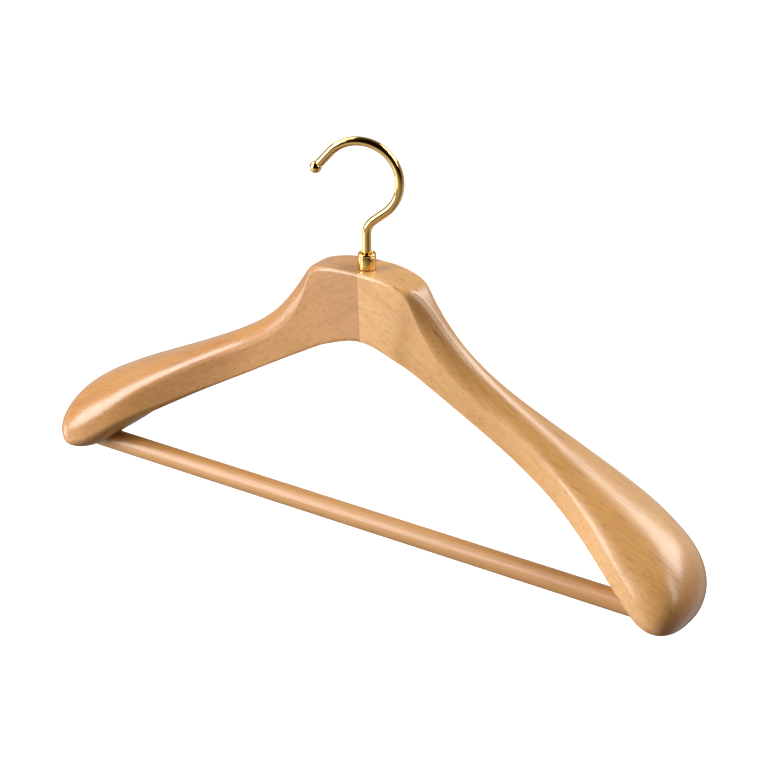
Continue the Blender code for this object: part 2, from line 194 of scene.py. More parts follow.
floor_material, tree, shader = new_material("white_paper_sweep")
shader.inputs["Base Color"].default_value = linear("#F4F3F1")
shader.inputs["Roughness"].default_value = 0.9
shader.inputs["Emission Color"].default_value = linear("#FFFFFF")
shader.inputs["Emission Strength"].default_value = 1.0
floor_mesh = bpy.data.meshes.new("floor")
square = np.array([(-1, -1, 0), (1, -1, 0), (1, 1, 0), (-1, 1, 0)])
floor_mesh.from_pydata(square * FLOOR_HALF + (0, 0, HEAD_TOP - FLOOR_DEPTH), [], [(0, 1, 2, 3)])
floor_mesh.materials.append(floor_material)
floor = bpy.data.objects.new("floor", floor_mesh)
floor.visible_diffuse = False
floor.visible_glossy = False
floor.visible_transmission = False
floor.visible_shadow = False
bpy.context.scene.collection.objects.link(floor)
floor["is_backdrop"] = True
print(f"floor {FLOOR_DEPTH * 1000:.0f} mm under the head")

# %% The room
ROOM_BY_HEIGHT = [  # from straight down, 0, to straight up, 1
    (0.03, "#A59C92"),
    (0.12, "#E8E0D8"),
    (0.31, "#F0E8E0"),
    (0.45, "#D0C8C0"),
    (0.69, "#B8B4B0"),
    (1.0, "#505050"),
]
DARK_SIDE = math.radians(42)  # azimuth of the darkest part of the room
DARKNESS_BY_SIDE = [(0.0, "#000000"), (0.45, "#A0A0A0"), (0.72, "#C8C8C8"), (0.82, "#FFFFFF")]
LOW_DARK_SIDE = math.radians(95)  # of the darkest part near the floor, right of the hanger
LOW_DARK_EDGE = (0.0, 0.8)  # it grows between these cosines of the level angle to that side
LOW_DARKNESS = (0.2, 0.75)  # away from that side, and on it
LOW_HEIGHTS = (-0.45, -0.1)  # sines of the elevation, where it is whole and where it has ended
BACK_DARK_SIDE = math.radians(214)  # and of the dark part behind it, below the horizon
BACK_DARK_EDGE = (0.5, 0.85)
BACK_DARKNESS = 0.75
BACK_HEIGHTS = (-0.15, -0.3)  # where it starts and where it is whole
UNLIT = "#1C0E06"

world = bpy.data.worlds.new("studio")
world.use_nodes = True
bpy.context.scene.world = world
tree = world.node_tree
background = tree.nodes["Background"]
towards = add(tree, "TexCoord").outputs["Generated"]
height = add(tree, "SeparateXYZ", {0: towards}).outputs["Z"]
level = add(tree, "VectorMath", {0: towards, 1: (1, 1, 0)}, operation="MULTIPLY").outputs["Vector"]
level = add(tree, "VectorMath", {0: level}, operation="NORMALIZE").outputs["Vector"]


def facing(azimuth):
    """The cosine of the level angle between a direction of the room and an azimuth."""
    inputs = {0: level, 1: direction(azimuth, 0)}
    return add(tree, "VectorMath", inputs, operation="DOT_PRODUCT").outputs["Value"]


up_range = {"Value": height, "From Min": -1.0, "From Max": 1.0}
up_share = add(tree, "MapRange", up_range).outputs["Result"]
room = ramp(tree, up_share, ROOM_BY_HEIGHT)

# The front's darkness is whole above the horizon and drops to the low one near the floor
side_range = {"Value": facing(DARK_SIDE), "From Min": -1.0, "From Max": 1.0}
side_share = add(tree, "MapRange", side_range).outputs["Result"]
side = ramp(tree, side_share, DARKNESS_BY_SIDE)
low_range = {"Value": facing(LOW_DARK_SIDE)}
low_range["From Min"], low_range["From Max"] = LOW_DARK_EDGE
low_range["To Min"], low_range["To Max"] = LOW_DARKNESS
low_share = add(tree, "MapRange", low_range).outputs["Result"]
upper_range = {"Value": height, "To Min": low_share}
upper_range["From Min"], upper_range["From Max"] = LOW_HEIGHTS
upper = add(tree, "MapRange", upper_range).outputs["Result"]
front_share = add(tree, "Math", {0: side, 1: upper}, operation="MULTIPLY").outputs[0]

# The back's darkness grows below the horizon, and towards its own side
below_range = {"Value": height, "To Max": BACK_DARKNESS}
below_range["From Min"], below_range["From Max"] = BACK_HEIGHTS
below = add(tree, "MapRange", below_range).outputs["Result"]
back_range = {"Value": facing(BACK_DARK_SIDE), "To Max": below}
back_range["From Min"], back_range["From Max"] = BACK_DARK_EDGE
back_share = add(tree, "MapRange", back_range).outputs["Result"]
dark_share = add(tree, "Math", {0: front_share, 1: back_share}, operation="MAXIMUM").outputs[0]

room_inputs = {"Factor": dark_share, 6: room, 7: linear(UNLIT)}
lit = add(tree, "Mix", room_inputs, data_type="RGBA").outputs[2]
seen = add(tree, "LightPath").outputs["Is Camera Ray"]
sky = add(tree, "Mix", {"Factor": seen, 6: lit, 7: (1, 1, 1, 1)}, data_type="RGBA")
tree.links.new(sky.outputs[2], background.inputs["Color"])
background.inputs["Strength"].default_value = 1.0
print("nodes in the room:", len(tree.nodes))

# %% The soft boxes
BOX_DISTANCE = 1.5
NEUTRAL = "#FFFAF8"
WARM = "#FFF6EC"


def soft_box(name, azimuth, elevation, width, tall, watts, colour):
    """A rectangular light that faces the hanger's middle, at angles in degrees."""
    light = bpy.data.lights.new(name, "AREA")
    light.shape = "RECTANGLE"
    light.size = width
    light.size_y = tall
    light.energy = watts
    light.color = linear(colour)[:3]
    box = bpy.data.objects.new(name, light)
    middle = (cad_box[0] + cad_box[1]) / 2
    away = direction(math.radians(azimuth), math.radians(elevation))
    box.location = middle + away * BOX_DISTANCE
    box.rotation_euler = away.to_track_quat("Z", "Y").to_euler()
    box.visible_camera = False
    bpy.context.scene.collection.objects.link(box)


# Name, azimuth, elevation, width, height, watts, colour
soft_box("front_left_box", -40, 18, 0.8, 1.3, 28, NEUTRAL)
soft_box("left_high_box", -80, 50, 1.2, 1.0, 11, NEUTRAL)
soft_box("right_box", 92, 32, 0.4, 0.8, 4, NEUTRAL)
soft_box("low_left_card", -72, -17, 0.5, 0.5, 2.8, NEUTRAL)
soft_box("back_right_box", 136, 42, 0.9, 0.9, 16, NEUTRAL)
soft_box("low_card", -34, -24, 0.9, 0.45, 1.6, WARM)
bpy.context.scene.view_settings.view_transform = "Standard"
print("lights:", [light.name for light in bpy.data.lights])

# %% [markdown]
# ## Lacquered beech
#
# Beech is a pale tan hardwood. Three things draw its figure. Growth rings give slow changes of
# tone and thin darker lines where a ring ends. Rays are thin upright plates of cells that run from
# the tree's heart outwards: they are the short dark flecks that everybody knows beech by, and
# they show best where the surface lies along the rings, as on the front of the head. Pores are
# fine tubes along the grain. Where the surface cuts through the rings they line up as hairlines,
# as on the arms' round ends. Wood cut squarely across its grain drinks lacquer and turns darker.
# Here that darkening is partly painted shade: the grain runs outwards and down, so it falls on
# the lower sides of the arms' round ends, where the shade lies.
#
# An image could hold all this, but a solid pattern in space is better here: the arm is carved
# through it, so the lines run on round the edges as they do in real wood. Object coordinates are
# turned so that x runs along the grain, and counted in millimetres. Each pattern is a noise that
# is stretched to the size of what it draws. How the surface cuts the wood can't be told from a
# place in space, so each arm stores that on its own points, and the material reads it there. Two
# coats of satin lacquer lie on top: a thin clear layer with its own, slightly blurred reflection.

# %% Patterns in the wood
MM = 1000.0  # object coordinates in millimetres
RING_MM = 2.6
RAY_MM = (4.6, 0.6, 0.34)  # along the grain, outwards, across
PORE_MM = (28.0, 0.5, 5.0)  # rows of pores in one layer of growth, drawn wider than real ones
CLOUD_MM = (90.0, 22.0, 16.0)
FIBRE_MM = (22.0, 1.4, 1.0)
PITH_MM = 70.0  # how far behind the board the tree's heart lay
WANDER_MM = 4 * RING_MM  # how far a ring strays from round
LATE_WOOD = (0.45, 1.0)  # the part of a ring that grows dark, from where on it starts to
# The tone is its start plus clouds, late wood and fibres, each times its weight
TONE_START = -0.03
CLOUD_WEIGHT = 0.6
LATE_WEIGHT = 0.08
FIBRE_WEIGHT = 0.4
TONE_PLACES = (0.2, 0.52, 0.9)  # of the pale, the middle and the dark colour on that scale
RAY_PEAK = (0.6, 0.7)  # a fleck shows where its noise rises from the first value to the second
PORE_PEAK = (0.64, 0.71)
FLECKS_GROW = (0.6, 0.95)  # the values of ALONG_LAYERS between which the flecks grow
PORES_FADE = (0.75, 0.92)  # and those between which the pore lines fade out
LEAST_FLECK = 0.08
# Its darker tone is partly end grain and partly painted shade under the arms' round ends
END_GRAIN_AND_SHADE = "end_grain"  # stored on each arm: how squarely its surface cuts the grain
ALONG_LAYERS = "along_layers"  # and how nearly it lies along the layers of growth
FLECK = "#864414"
# Darker tone of end grain, also used as painted shade under the arms' round ends
END_GRAIN_AND_SHADE_TONE = "#8E5424"


def stretched_noise(tree, place, size_mm, detail):
    """Noise whose blobs have the given length along each axis."""
    shares = [1 / size for size in size_mm]
    scaled = add(tree, "VectorMath", {0: place, 1: shares}, operation="MULTIPLY").outputs["Vector"]
    return add(tree, "TexNoise", {"Vector": scaled, "Scale": 1.0, "Detail": detail}).outputs["Fac"]


def stored(tree, name):
    """A value that is stored on the piece's points, or 0 where the piece has none."""
    return add(tree, "Attribute", attribute_name=name).outputs["Fac"]


def late_wood(tree, place, cloud):
    """How far into the dark part of its ring a place is.

    The ring's number is the distance from the heart, sqrt(y * y + z * z), over a ring's width.
    """
    parts = add(tree, "SeparateXYZ", {0: place})
    z = parts.outputs["Z"]
    y = add(tree, "Math", {0: parts.outputs["Y"], 1: PITH_MM}, operation="SUBTRACT").outputs[0]
    y_squared = add(tree, "Math", {0: y, 1: y}, operation="MULTIPLY").outputs[0]
    squares = add(tree, "Math", {0: z, 1: z, 2: y_squared}, operation="MULTIPLY_ADD").outputs[0]
    radius = add(tree, "Math", {0: squares}, operation="SQRT").outputs[0]
    inputs = {0: cloud, 1: WANDER_MM, 2: radius}
    strayed = add(tree, "Math", inputs, operation="MULTIPLY_ADD").outputs[0]
    number = add(tree, "Math", {0: strayed, 1: RING_MM}, operation="DIVIDE").outputs[0]
    in_ring = add(tree, "Math", {0: number}, operation="FRACT").outputs[0]
    dark_part = {"Value": in_ring, "From Min": LATE_WOOD[0], "From Max": LATE_WOOD[1]}
    return add(tree, "MapRange", dark_part, interpolation_type="SMOOTHSTEP").outputs["Result"]


def wood_tone(tree, place, tones):
    """The ground colour: clouds, the late wood of each ring and the fibres, weighed and added."""
    cloud = stretched_noise(tree, place, CLOUD_MM, 2.0)
    fibre = stretched_noise(tree, place, FIBRE_MM, 3.0)
    late = late_wood(tree, place, cloud)
    tone = TONE_START
    for part, weight in ((cloud, CLOUD_WEIGHT), (late, LATE_WEIGHT), (fibre, FIBRE_WEIGHT)):
        inputs = {0: part, 1: weight, 2: tone}
        tone = add(tree, "Math", inputs, operation="MULTIPLY_ADD").outputs[0]
    return ramp(tree, tone, list(zip(TONE_PLACES, tones)))


def flecks(tree, place, strength):
    """Flecks where the ray noise peaks, on surfaces that lie along the layers of growth."""
    noise = stretched_noise(tree, place, RAY_MM, 0.0)
    inputs = {"Value": stored(tree, ALONG_LAYERS), "To Min": LEAST_FLECK, "To Max": strength}
    inputs["From Min"], inputs["From Max"] = FLECKS_GROW
    share = add(tree, "MapRange", inputs).outputs["Result"]
    inputs = {"Value": noise, "From Min": RAY_PEAK[0], "From Max": RAY_PEAK[1], "To Max": share}
    return add(tree, "MapRange", inputs).outputs["Result"]


def pore_lines(tree, place, strength):
    """Hairlines where the pore noise peaks, on surfaces that cut through the layers of growth."""
    noise = stretched_noise(tree, place, PORE_MM, 1.0)
    inputs = {"Value": stored(tree, ALONG_LAYERS), "To Min": strength, "To Max": 0.0}
    inputs["From Min"], inputs["From Max"] = PORES_FADE
    share = add(tree, "MapRange", inputs).outputs["Result"]
    inputs = {"Value": noise, "From Min": PORE_PEAK[0], "From Max": PORE_PEAK[1], "To Max": share}
    return add(tree, "MapRange", inputs).outputs["Result"]


print(f"rings {RING_MM} mm wide, flecks about {RAY_MM[0]} mm long")

# %% The beech materials
GRAIN_ANGLE = math.radians(32)
LEFT_TONES = ("#C3904F", "#B57F3C", "#A1682A")
RIGHT_TONES = ("#E0B277", "#D5A260", "#BE8441")
BAR_TONES = ("#C6995F", "#BA874A", "#A77138")
DOWEL_TONES = ("#E9C79E", "#DDB384", "#C49361")
# The end-grain darkening is also painted shade on the lower sides of the round ends
END_GRAIN_AND_SHADE_GROWS = (0.1, 0.85)  # the values of END_GRAIN_AND_SHADE between which the wood darkens
END_GRAIN_AND_SHADE_SHARE = 0.8
PORE_DEPTH = 0.0001
PORE_DENT = 0.12
PORE_DULLNESS = 0.2
WOOD_IOR = 1.5  # of the lacquer too
LACQUER_ROUGHNESS = 0.24


def beech(name, grain_angle, offset_mm, tones, ray_strength, pore_strength, coat, roughness):
    """Beech with its grain at an angle in the XZ plane. tones run from pale to dark."""
    material, tree, shader = new_material(name)
    place = add(tree, "Mapping", {
        "Vector": add(tree, "TexCoord").outputs["Object"],
        "Location": offset_mm,
        "Rotation": (0, grain_angle, 0),
        "Scale": (MM, MM, MM),
    }).outputs["Vector"]
    rays = flecks(tree, place, ray_strength)
    pores = pore_lines(tree, place, pore_strength)
    dark = add(tree, "Math", {0: rays, 1: pores}, operation="MAXIMUM").outputs[0]
    inputs = {"Factor": dark, 6: wood_tone(tree, place, tones), 7: linear(FLECK)}
    colour = add(tree, "Mix", inputs, data_type="RGBA").outputs[2]
    # Darker towards the end grain: partly real, partly painted shade under the arms' round ends
    inputs = {"Value": stored(tree, END_GRAIN_AND_SHADE), "To Max": END_GRAIN_AND_SHADE_SHARE}
    inputs["From Min"], inputs["From Max"] = END_GRAIN_AND_SHADE_GROWS
    end_grain_and_shade_share = add(tree, "MapRange", inputs).outputs["Result"]
    inputs = {"Factor": end_grain_and_shade_share, 6: colour, 7: linear(END_GRAIN_AND_SHADE_TONE)}
    colour = add(tree, "Mix", inputs, data_type="RGBA").outputs[2]
    tree.links.new(colour, shader.inputs["Base Color"])

    # Pores are open grooves, so they dent the surface a little and are duller
    inputs = {"Height": pores, "Strength": PORE_DENT, "Distance": PORE_DEPTH}
    groove = add(tree, "Bump", inputs, invert=True)
    tree.links.new(groove.outputs["Normal"], shader.inputs["Normal"])
    inputs = {0: dark, 1: PORE_DULLNESS, 2: roughness}
    duller = add(tree, "Math", inputs, operation="MULTIPLY_ADD")
    tree.links.new(duller.outputs[0], shader.inputs["Roughness"])
    shader.inputs["IOR"].default_value = WOOD_IOR
    shader.inputs["Coat Weight"].default_value = coat
    shader.inputs["Coat Roughness"].default_value = LACQUER_ROUGHNESS
    shader.inputs["Coat IOR"].default_value = WOOD_IOR
    return material


left_beech = beech(
    "left_lacquered_beech", GRAIN_ANGLE, (40, 3, 11), LEFT_TONES,
    ray_strength=0.52, pore_strength=0.7, coat=1.0, roughness=0.42)
right_beech = beech(
    "right_lacquered_beech", -GRAIN_ANGLE, (310, -6, 57), RIGHT_TONES,
    ray_strength=0.4, pore_strength=0.7, coat=1.0, roughness=0.42)
bar_beech = beech(
    "sanded_beech_bar", 0.0, (520, 20, -31), BAR_TONES,
    ray_strength=0.1, pore_strength=0.12, coat=0.6, roughness=0.5)
dowel_beech = beech(
    "bare_beech_dowel", 0.0, (-77, 9, 140), DOWEL_TONES,
    ray_strength=0.1, pore_strength=0.12, coat=0.0, roughness=0.65)
print("woods:", [wood.name for wood in (left_beech, right_beech, bar_beech, dowel_beech)])

# %% [markdown]
# ## Brass and steel
#
# The hook and the ferrule are polished and plated: a metal's colour is the tint of its mirror
# image, so the base colour is the brass itself and everything else comes from what it reflects.
# Buffing leaves hair-thin swirls and a little haze, which a noise in the roughness gives. The
# turned pieces inside the head keep the fine rings that the lathe left.

# %% The metal materials
HAZE_MM = 3.0
TOOL_RING_MM = 0.25
TOOL_RING_DEPTH = 0.00003
WAVES_PER_UNIT = 20  # of a Wave texture at scale 1


def metal(name, colour, dark_colour, roughness, haze, ring_bump=0.0):
    """A metal with clouds of haze, and fine turned rings where ring_bump is above 0."""
    material, tree, shader = new_material(name)
    place = add(tree, "TexCoord").outputs["Object"]
    inputs = {"Vector": place, "Scale": MM / HAZE_MM, "Detail": 4.0}
    clouds = add(tree, "TexNoise", inputs).outputs["Fac"]
    inputs = {"Factor": clouds, 6: linear(colour), 7: linear(dark_colour)}
    tint = add(tree, "Mix", inputs, data_type="RGBA")
    tree.links.new(tint.outputs[2], shader.inputs["Base Color"])
    uneven = add(tree, "Math", {0: clouds, 1: haze, 2: roughness}, operation="MULTIPLY_ADD")
    tree.links.new(uneven.outputs[0], shader.inputs["Roughness"])
    shader.inputs["Metallic"].default_value = 1.0
    if ring_bump:
        inputs = {"Vector": place, "Scale": MM / TOOL_RING_MM / WAVES_PER_UNIT, "Distortion": 0.4}
        rings = add(tree, "TexWave", inputs, wave_type="BANDS", bands_direction="Z")
        lathe_marks = rings.outputs["Fac"]
        inputs = {"Height": lathe_marks, "Strength": ring_bump, "Distance": TOOL_RING_DEPTH}
        bump = add(tree, "Bump", inputs)
        tree.links.new(bump.outputs["Normal"], shader.inputs["Normal"])
    return material


polished_brass = metal("polished_brass", "#EDCB86", "#E2BC73", roughness=0.05, haze=0.06)
turned_brass = metal(
    "turned_brass", "#D2A95A", "#B88C43", roughness=0.28, haze=0.15, ring_bump=0.5)
drawn_steel = metal("drawn_steel", "#C4C4C2", "#A6A6A4", roughness=0.3, haze=0.15, ring_bump=0.3)
print("metals:", polished_brass.name, turned_brass.name, drawn_steel.name)

# %% [markdown]
# ## Skins from rings
#
# Every new piece is a stack of rings: a round section carried along a path, or a turned profile.
# The rings are one array of points, and the faces between them follow from the points' numbers, so
# no loop over points is needed. The ends are closed by a fan to their middle, or the last ring is
# joined to the first. The faces are then turned round if the volume they enclose comes out
# negative, which also puts the mirrored arm right.

# %% The mesh helpers
SHARP_ANGLE = math.radians(32)


def enclosed_volume(points, triangles):
    """A sixth of the sum, over the triangles, of corner a times the cross product of b and c."""
    a, b, c = points[triangles].transpose(1, 0, 2)
    return (a * np.cross(b, c)).sum() / 6


def skin(name, rings, material=None, looped=False):
    """A closed surface through rings of points.

    Face (i, j) joins the points j and j + 1 of ring i to those of ring i + 1.
    """
    rings = np.asarray(rings, float)
    points = rings.reshape(-1, 3)
    number = np.arange(len(points)).reshape(rings.shape[:2])
    if looped:
        number = np.concatenate([number, number[:1]])
    after = np.roll(number, -1, axis=1)
    quads = np.stack([number[:-1], after[:-1], after[1:], number[1:]], axis=-1).reshape(-1, 4)
    fans = np.zeros((0, 3), int)
    if not looped:
        middles = len(points) + np.array([[0], [1]])
        points = np.concatenate([points, rings[[0, -1]].mean(axis=1)])
        start = np.stack([after[0], number[0], middles[0] + 0 * number[0]], axis=-1)
        end = np.stack([number[-1], after[-1], middles[1] + 0 * number[-1]], axis=-1)
        fans = np.concatenate([start, end])
    if enclosed_volume(points, np.concatenate([quads[:, :3], quads[:, [0, 2, 3]], fans])) < 0:
        quads = quads[:, ::-1]
        fans = fans[:, ::-1]
    mesh = bpy.data.meshes.new(name)
    mesh.from_pydata(points, [], quads.tolist() + fans.tolist())
    mesh.shade_smooth()
    mesh.set_sharp_from_angle(angle=SHARP_ANGLE)
    if material:
        mesh.materials.append(material)
    made = bpy.data.objects.new(name, mesh)
    bpy.context.scene.collection.objects.link(made)
    return made


def arc(centre, radius, angle):
    """Points of a circle at some angles: the centre plus radius times (cos, sin)."""
    return np.array(centre) + radius * np.stack([np.cos(angle), np.sin(angle)], axis=1)


def turned(profile, sides):
    """Rings about Z: each (radius, height) of the profile becomes a circle of that many points."""
    angle = np.linspace(0, 2 * np.pi, sides, endpoint=False)
    radius, height = np.array(profile, float).T[:, :, None]
    return np.stack([radius * np.cos(angle), radius * np.sin(angle), height + 0 * angle], axis=-1)


print("a rod of 8 sides is an array of", turned([(1, 0), (1, 1)], 8).shape)


def lying(rings):
    """The same rings, with their Z laid along X."""
    return rings[:, :, [2, 0, 1]]


def carve(piece, cutters):
    """Takes the cutters' shapes out of the piece's mesh and clears the cutters away."""
    for cutter in cutters:
        cut = piece.modifiers.new(cutter.name, "BOOLEAN")
        cut.operation = "DIFFERENCE"
        cut.solver = "MANIFOLD"
        cut.object = cutter
    evaluated = piece.evaluated_get(bpy.context.evaluated_depsgraph_get())
    carved = bpy.data.meshes.new_from_object(evaluated)
    piece.modifiers.clear()
    piece.data = carved
    carved.set_sharp_from_angle(angle=SHARP_ANGLE)
    for cutter in cutters:
        bpy.data.objects.remove(cutter)


def fit(piece, node, body):
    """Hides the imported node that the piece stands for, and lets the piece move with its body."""
    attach(piece, body)
    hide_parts(node)
    print(f"{piece.name}: {len(piece.data.polygons)} faces, for {node} on {body}")


# %% [markdown]
# ## The arms
#
# An arm is carved from a thick board by a copying machine and sanded by hand. It starts as a flat
# block at the glued joint, thins to a neck, bows back and swells into a broad rounded end that
# holds the shoulder of a jacket. One way to model that is to sculpt it, but a formula holds every
# size. The arm here is a surface of two parameters. `along` runs from the joint to the end, and
# moves four smooth curves: the top edge, the low edge, the half depth and the bow. `corner` runs
# round the section, which is a box with four rounded corners. The upper two start small at the
# head, turn into broad sloping flanks along the neck and end as the round top of the shoulder.
# Each is an ellipse that can be sharpened where it leaves the front or back face: that makes the
# crease along the neck, which softens and is gone at the shoulder. The arm's end closes as a
# superellipse of a power above 2, which is fuller than a half circle.

# %% The arm's driving sizes
SEAT_GAP = 0.0003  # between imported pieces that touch
GLUE_LINE = 0.00014  # what is left to see of the joint between the arms
ARM_REACH = 0.2297
ARM_DROP = 0.167
ARM_SWEEP = 0.010  # scale of the bow
HEAD_HALF_DEPTH = 0.0135
PADDLE_HALF_DEPTH = 0.0324  # 0.1 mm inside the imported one
CAP_START_SHARE = 0.865  # along the arm, where its round end starts
CAP_POWER = 2.38
CAP_HEIGHT_SHARE = 0.32  # up from the low edge, where the round end closes
LOW_ROUND_SHARE = 0.60  # along the arm, from where on the lower corners get rounder
# The two edges, in shares of ARM_REACH and ARM_DROP
TOP_REACH_SHARES = (0, 0.069, 0.137, 0.160, 0.205, 0.268, 0.365, 0.495, 0.634, 0.775, 0.903, 0.985)
TOP_DROP_SHARES = (0, 0, 0.016, 0.029, 0.113, 0.229, 0.340, 0.441, 0.538, 0.627, 0.725, 0.809)
LOW_REACH_SHARES = (0, 0.051, 0.095, 0.128, 0.181, 0.281, 0.398, 0.527, 0.647, 0.753, 0.850, 0.930)
LOW_DROP_SHARES = (0.255, 0.272, 0.298, 0.318, 0.362, 0.443, 0.543, 0.645, 0.747, 0.835, 0.970, 0.985)
# The half depth from HEAD_HALF_DEPTH, 0, to PADDLE_HALF_DEPTH, 1, the bow in shares of ARM_SWEEP,
# and how much narrower the section is at its low edge
DEPTH_SHARES = (0, -0.02, -0.10, -0.13, -0.11, -0.10, -0.09, 0.15, 0.51, 0.88, 1, 1.09)
MIDDLE_SHARES = (0.29, 0.22, 0.08, 0.12, 0.24, 0.46, 0.86, 1.07, 1.04, 0.78, 0.14, -0.86)
NARROWING_SHARES = (0.18, 0.24, 0.30, 0.40, 0.44, 0.42, 0.34, 0.24, 0.05, -0.13, -0.06, -0.05)
# How far the upper corners reach across and down, and how softly they leave the two faces
TOP_ACROSS_SHARES = (0.15, 0.15, 0.22, 0.80, 0.97, 0.97, 0.97, 0.97, 0.97, 0.97, 0.97, 0.97)
TOP_DOWN_SHARES = (0.05, 0.05, 0.05, 0.17, 0.42, 0.48, 0.44, 0.38, 0.48, 0.64, 0.66, 0.66)
TOP_SOFTNESS_SHARES = (1, 1, 1, 0.50, 0.35, 0.35, 0.50, 0.80, 1, 1, 1, 1)
# The same reach of the lower corners, up to LOW_ROUND_SHARE and at the arm's end
LOW_ACROSS_SHARES = (0.12, 0.70)
LOW_DOWN_SHARES = (0.06, 0.28)
ARM_STATIONS = 210
CAP_STATIONS = 50
CORNER_POINTS = 32
FLAT_SHARES = (0.04, 0.2, 0.4, 0.6, 0.8, 0.96)  # points on each flat between two corners
print(f"an arm has {ARM_STATIONS + CAP_STATIONS} sections")


# %% The arm's surface
def flowing(shares, along, odd=False):
    """A uniform cubic B-spline along a run of shares.

    Before the joint the run goes on as its mirror image, and odd turns that over too.
    """
    shares = np.array(shares, float)
    before = -shares[1] if odd else shares[1]
    control = np.concatenate([[before], shares, [2 * shares[-1] - shares[-2]]])
    place = np.clip(along, 0, 1) * (len(shares) - 1)
    first = np.minimum(place.astype(int), len(shares) - 2)
    t = place - first
    weights = [(1 - t) ** 3, 3 * t**3 - 6 * t**2 + 4, -3 * t**3 + 3 * t**2 + 3 * t + 1, t**3]
    return sum(weights[i] * control[first + i] for i in range(4)) / 6


def edge(reach_shares, drop_shares, along):
    """Reach and height of one edge of the arm."""
    reach = flowing(reach_shares, along, odd=True) * ARM_REACH
    return np.stack([reach, -flowing(drop_shares, along) * ARM_DROP])


def section(top_across, top_down, softness, low_across, low_down):
    """A box of half width 1 and height 1 with rounded corners, and points along its four flats.

    A low corner is an ellipse. A top one is across * cos(t) and down * sin(t) ** p, where p is
    2 / (1 + softness): an ellipse too at softness 1, and one that starts at a crease near 0.
    """
    turn = np.linspace(0, np.pi / 2, CORNER_POINTS)
    c = np.cos(turn).clip(0)
    s = np.sin(turn)
    power = 2 / (1 + softness)
    corners = [
        np.stack([1 - top_across + top_across * c, 1 - top_down + top_down * s**power]),
        np.stack([top_across - 1 - top_across * s, 1 - top_down + top_down * c**power]),
        np.stack([low_across - 1 - low_across * c, low_down - low_down * s]),
        np.stack([1 - low_across + low_across * s, low_down - low_down * c]),
    ]
    runs = []
    for i in range(4):
        start = corners[i][:, :, -1:]
        end = corners[(i + 1) % 4][:, :, :1]
        runs += [corners[i], start + (end - start) * np.array(FLAT_SHARES)]
    return np.concatenate(runs, axis=-1)


def arm_rings(side):
    """Sections of one arm from the joint to the end; side is -1 or 1."""
    turn = np.linspace(0, np.pi / 2, CAP_STATIONS + 1)[1:]
    turn[-1] -= turn[0] / CAP_STATIONS  # the last section is small but not yet a point
    cap_along = CAP_START_SHARE + (1 - CAP_START_SHARE) * np.sin(turn)
    along = np.concatenate([np.linspace(0, CAP_START_SHARE, ARM_STATIONS), cap_along])
    into_cap = np.clip((along - CAP_START_SHARE) / (1 - CAP_START_SHARE), 0, 1)
    cap = (1 - into_cap**CAP_POWER) ** (1 / CAP_POWER)
    top = edge(TOP_REACH_SHARES, TOP_DROP_SHARES, along)
    low = edge(LOW_REACH_SHARES, LOW_DROP_SHARES, along)
    heart = low + (top - low) * CAP_HEIGHT_SHARE
    top = heart + (top - heart) * cap
    low = heart + (low - heart) * cap

    swell = (PADDLE_HALF_DEPTH - HEAD_HALF_DEPTH) * flowing(DEPTH_SHARES, along)
    depth = ((HEAD_HALF_DEPTH + swell) * cap)[:, None]
    middle = (flowing(MIDDLE_SHARES, along) * ARM_SWEEP)[:, None]
    narrowing = flowing(NARROWING_SHARES, along)[:, None]
    outward = np.clip((along - LOW_ROUND_SHARE) / (1 - LOW_ROUND_SHARE), 0, 1)
    shares = [
        flowing(TOP_ACROSS_SHARES, along),
        flowing(TOP_DOWN_SHARES, along),
        flowing(TOP_SOFTNESS_SHARES, along),
        np.interp(outward, (0, 1), LOW_ACROSS_SHARES),
        np.interp(outward, (0, 1), LOW_DOWN_SHARES),
    ]
    across, height = section(*[share[:, None] for share in shares])

    reach, z = low[:, :, None] + (top - low)[:, :, None] * height
    reach += SEAT_GAP / 2
    reach[0] = GLUE_LINE / 2
    y = middle + depth * across * (1 - narrowing * (1 - height))
    return np.stack([side * reach, y, z + HEAD_TOP], axis=-1)


right_rings = arm_rings(1)
arm_size = right_rings.max((0, 1)) - right_rings.min((0, 1))
print("length, depth and height of an arm, mm:", (MM * arm_size).round(1).tolist())

# %% [markdown]
# ### What is cut into the arms
#
# The head is bored for the hook's socket, the joint for two dowels, and the underside of each end
# gets a round channel that the trouser bar lies in, with a hole for its brad. All cutters are
# rods, so one function makes them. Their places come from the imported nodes' own boxes. Once an
# arm has its final surface, it stores how that surface cuts the wood, for the beech to read.

# %% Make the two arms
SOCKET_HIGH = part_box("socket")[1]
HOOK_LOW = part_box("hook")[0]
BAR_LOW, BAR_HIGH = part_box("trouser_bar")
BAR_RADIUS = (BAR_HIGH.z - BAR_LOW.z) / 2
BAR_PLACE = (0, (BAR_LOW.y + BAR_HIGH.y) / 2, (BAR_LOW.z + BAR_HIGH.z) / 2)
VISIBLE_GAP = 0.0001  # between the bar and its channel
CUT_OVERRUN = 0.002
CUTTER_SIDES = 96


def rod(name, radius, low, high):
    """A cylinder about Z, from one height to another."""
    return skin(name, turned([(radius, low), (radius, high)], CUTTER_SIDES))


def moved(piece, place):
    """The piece with its mesh moved to a place: its object stays at the origin."""
    piece.data.transform(Matrix.Translation(place))
    return piece


def lying_rod(name, radius, low, high, place):
    """A cylinder along X, with low and high counted from the place."""
    rings = lying(turned([(radius, low), (radius, high)], CUTTER_SIDES))
    return moved(skin(name, rings), place)


def pin_hole(node):
    """A hole for a brad, from under the bar to just above the brad's end."""
    low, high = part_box(node)
    radius = (high.x - low.x) / 2 + SEAT_GAP
    middle = (low + high) / 2
    hole = rod(f"{node}_hole", radius, low.z - CUT_OVERRUN, high.z + SEAT_GAP)
    return moved(hole, (middle.x, middle.y, 0))


